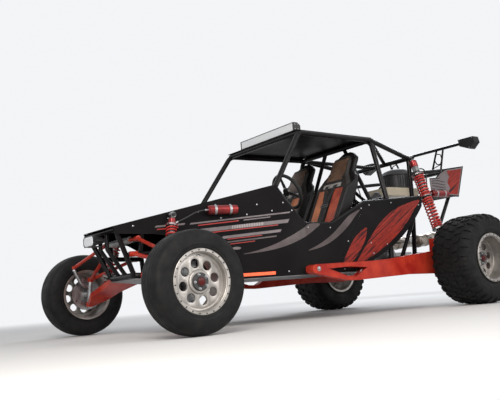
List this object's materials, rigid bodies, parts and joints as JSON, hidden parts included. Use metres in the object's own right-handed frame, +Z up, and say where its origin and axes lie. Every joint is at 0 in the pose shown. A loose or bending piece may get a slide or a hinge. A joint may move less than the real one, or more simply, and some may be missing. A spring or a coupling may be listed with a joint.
{
  "type": "dune buggy",
  "caption": "Two-seat tube-framed sand car with long-travel suspension, open rear engine, roof light bar and steering linked from the wheel to the front hubs.",
  "frame": {"origin": "on the ground, at the middle of the car's length and width", "axes": "+X to the front, +Y to the car's left, +Z up"},
  "size_m": [4.056, 2.357, 1.69],
  "materials": {
    "frame_black": "gloss",
    "pan_aluminium": "satin",
    "body_black": "high gloss",
    "lamp_housing": "satin",
    "lamp_lens": "clear",
    "seat_shell": "satin",
    "seat_leather": "matte",
    "bare_steel": "satin",
    "cast_aluminium": "cast",
    "arm_red": "gloss",
    "shock_steel": "satin",
    "spring_red": "gloss",
    "reservoir_red": "anodised",
    "engine_iron": "cast",
    "exhaust_steel": "satin",
    "intake_cream": "gloss",
    "strip_red": "gloss",
    "grip_black": "matte",
    "hose_black": "matte",
    "rim_silver": "machined",
    "tyre_rubber": "matte"
  },
  "bodies": {
    "chassis": {"frame_front": "frame_black", "frame_cockpit": "frame_black", "frame_cage": "frame_black", "frame_rear": "frame_black", "belly_pan": "pan_aluminium", "nose_panel": "body_black", "side_panels": "body_black", "rear_panels": "body_black", "dash_panel": "body_black", "roof_panel": "body_black", "light_bar": "lamp_housing", "headlight": "lamp_housing", "lamp_lenses": "lamp_lens", "seat_shells": "seat_shell", "seat_cushions": "seat_leather", "console": "lamp_housing", "steering_column": "bare_steel", "rack_housing": "cast_aluminium", "front_arms": "arm_red", "trailing_arms": "arm_red", "shock_bodies": "shock_steel", "coil_springs": "spring_red", "shock_reservoirs": "reservoir_red", "shock_hoses": "hose_black", "transaxle": "cast_aluminium", "half_shafts": "bare_steel", "engine_block": "engine_iron", "engine_heads": "cast_aluminium", "exhaust": "exhaust_steel", "air_cleaner": "intake_cream", "tail_fairings": "body_black", "tail_bar": "frame_black", "rocker_lights": "strip_red"},
    "steering_wheel": {"steering_wheel": "grip_black"},
    "steering_rack": {"steering_rack": "arm_red"},
    "knuckle_left": {"knuckle_left": "bare_steel"},
    "front_wheel_left": {"front_rim_left": "rim_silver", "front_tyre_left": "tyre_rubber"},
    "rear_wheel_left": {"rear_rim_left": "rim_silver", "rear_tyre_left": "tyre_rubber"},
    "knuckle_right": {"knuckle_right": "bare_steel"},
    "front_wheel_right": {"front_rim_right": "rim_silver", "front_tyre_right": "tyre_rubber"},
    "rear_wheel_right": {"rear_rim_right": "rim_silver", "rear_tyre_right": "tyre_rubber"}
  },
  "joints": [
    {"name": "steer_left", "type": "hinge", "parent": "chassis", "child": "knuckle_left", "pos_m": [1.68, 0.8, 0.262], "axis": [-0.0767, -0.0287, 0.9966], "range_deg": [-28, 28]},
    {"name": "steer_right", "type": "hinge", "parent": "chassis", "child": "knuckle_right", "pos_m": [1.68, -0.8, 0.262], "axis": [-0.0767, 0.0287, 0.9966], "range_deg": [-28, 28]},
    {"name": "rack_slide", "type": "slide", "parent": "chassis", "child": "steering_rack", "axis": [0, 1, 0], "range_m": [-0.074, 0.074]},
    {"name": "steering_wheel_turn", "type": "hinge", "parent": "chassis", "child": "steering_wheel", "pos_m": [0.3, 0.3, 1.09], "axis": [-0.8829, 0, 0.4695], "range_deg": [-252, 252]},
    {"name": "front_left_spin", "type": "hinge", "parent": "knuckle_left", "child": "front_wheel_left", "pos_m": [1.68, 0.947, 0.348], "axis": [0, 1, 0], "continuous": true},
    {"name": "front_right_spin", "type": "hinge", "parent": "knuckle_right", "child": "front_wheel_right", "pos_m": [1.68, -0.947, 0.348], "axis": [0, 1, 0], "continuous": true},
    {"name": "rear_left_spin", "type": "hinge", "parent": "chassis", "child": "rear_wheel_left", "pos_m": [-1.26, 0.982, 0.4], "axis": [0, 1, 0], "continuous": true},
    {"name": "rear_right_spin", "type": "hinge", "parent": "chassis", "child": "rear_wheel_right", "pos_m": [-1.26, -0.982, 0.4], "axis": [0, 1, 0], "continuous": true}
  ],
  "couplings": [
    {"joint": "steer_right", "follows": "steer_left", "ratio": 1},
    {"joint": "rack_slide", "follows": "steer_left", "m_per_rad": 0.151},
    {"joint": "steering_wheel_turn", "follows": "steer_left", "ratio": 9}
  ]
}
